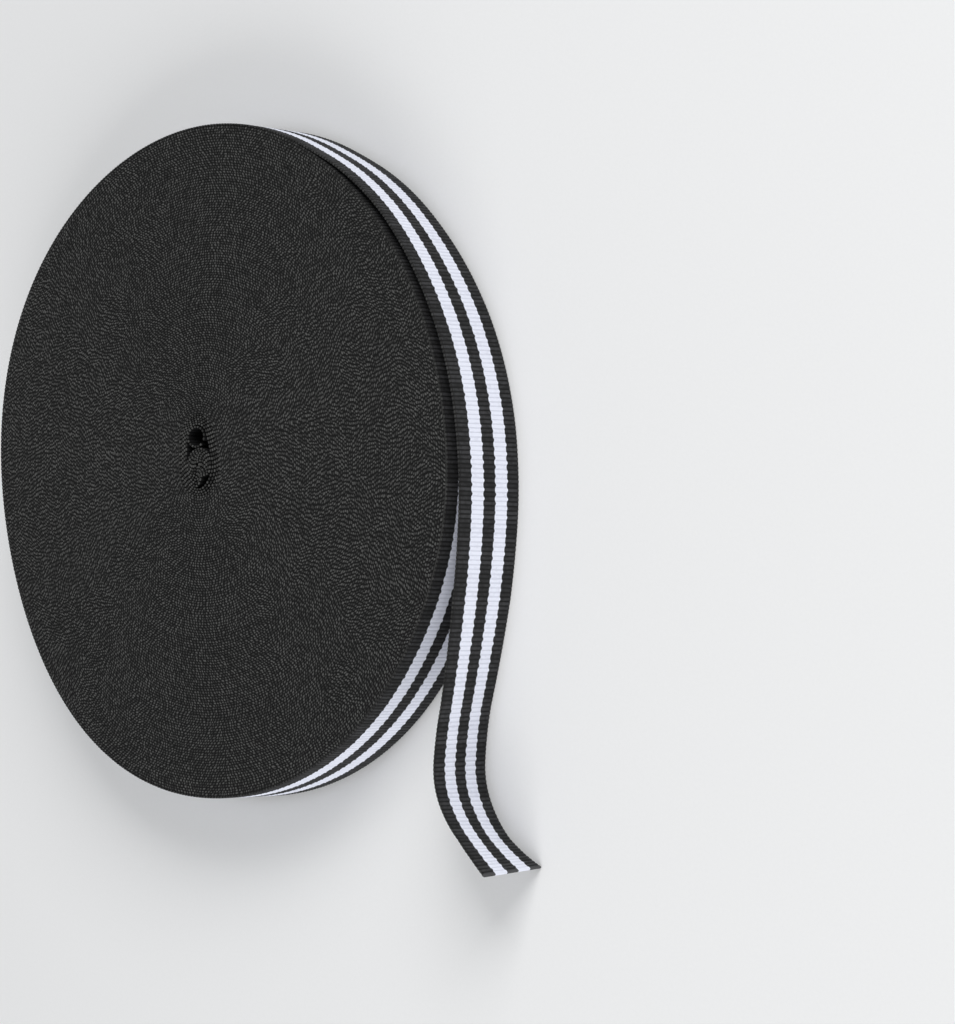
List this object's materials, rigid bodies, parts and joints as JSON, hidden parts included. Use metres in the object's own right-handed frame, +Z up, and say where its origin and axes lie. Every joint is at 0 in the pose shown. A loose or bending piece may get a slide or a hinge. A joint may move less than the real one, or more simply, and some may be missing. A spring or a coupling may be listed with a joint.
{
  "type": "roll of grosgrain ribbon",
  "caption": "Flat roll of striped ribbed ribbon wound without a core, lying on its side, with its loose end curving away on edge beside it.",
  "frame": {"origin": "on the surface that the roll lies on, at the middle of the roll's lower face", "axes": "+Z up, along the roll's axis; +X towards the side where the turns lie tight, opposite the cut end; the loose end passes along the -Y side"},
  "size_m": [0.2489, 0.2532, 0.0254],
  "materials": {
    "ribbon": "ribbed weave, near black with two white stripes along it"
  },
  "bodies": {
    "root": {"wound_roll": "ribbon", "loose_end": "ribbon"}
  },
  "joints": []
}
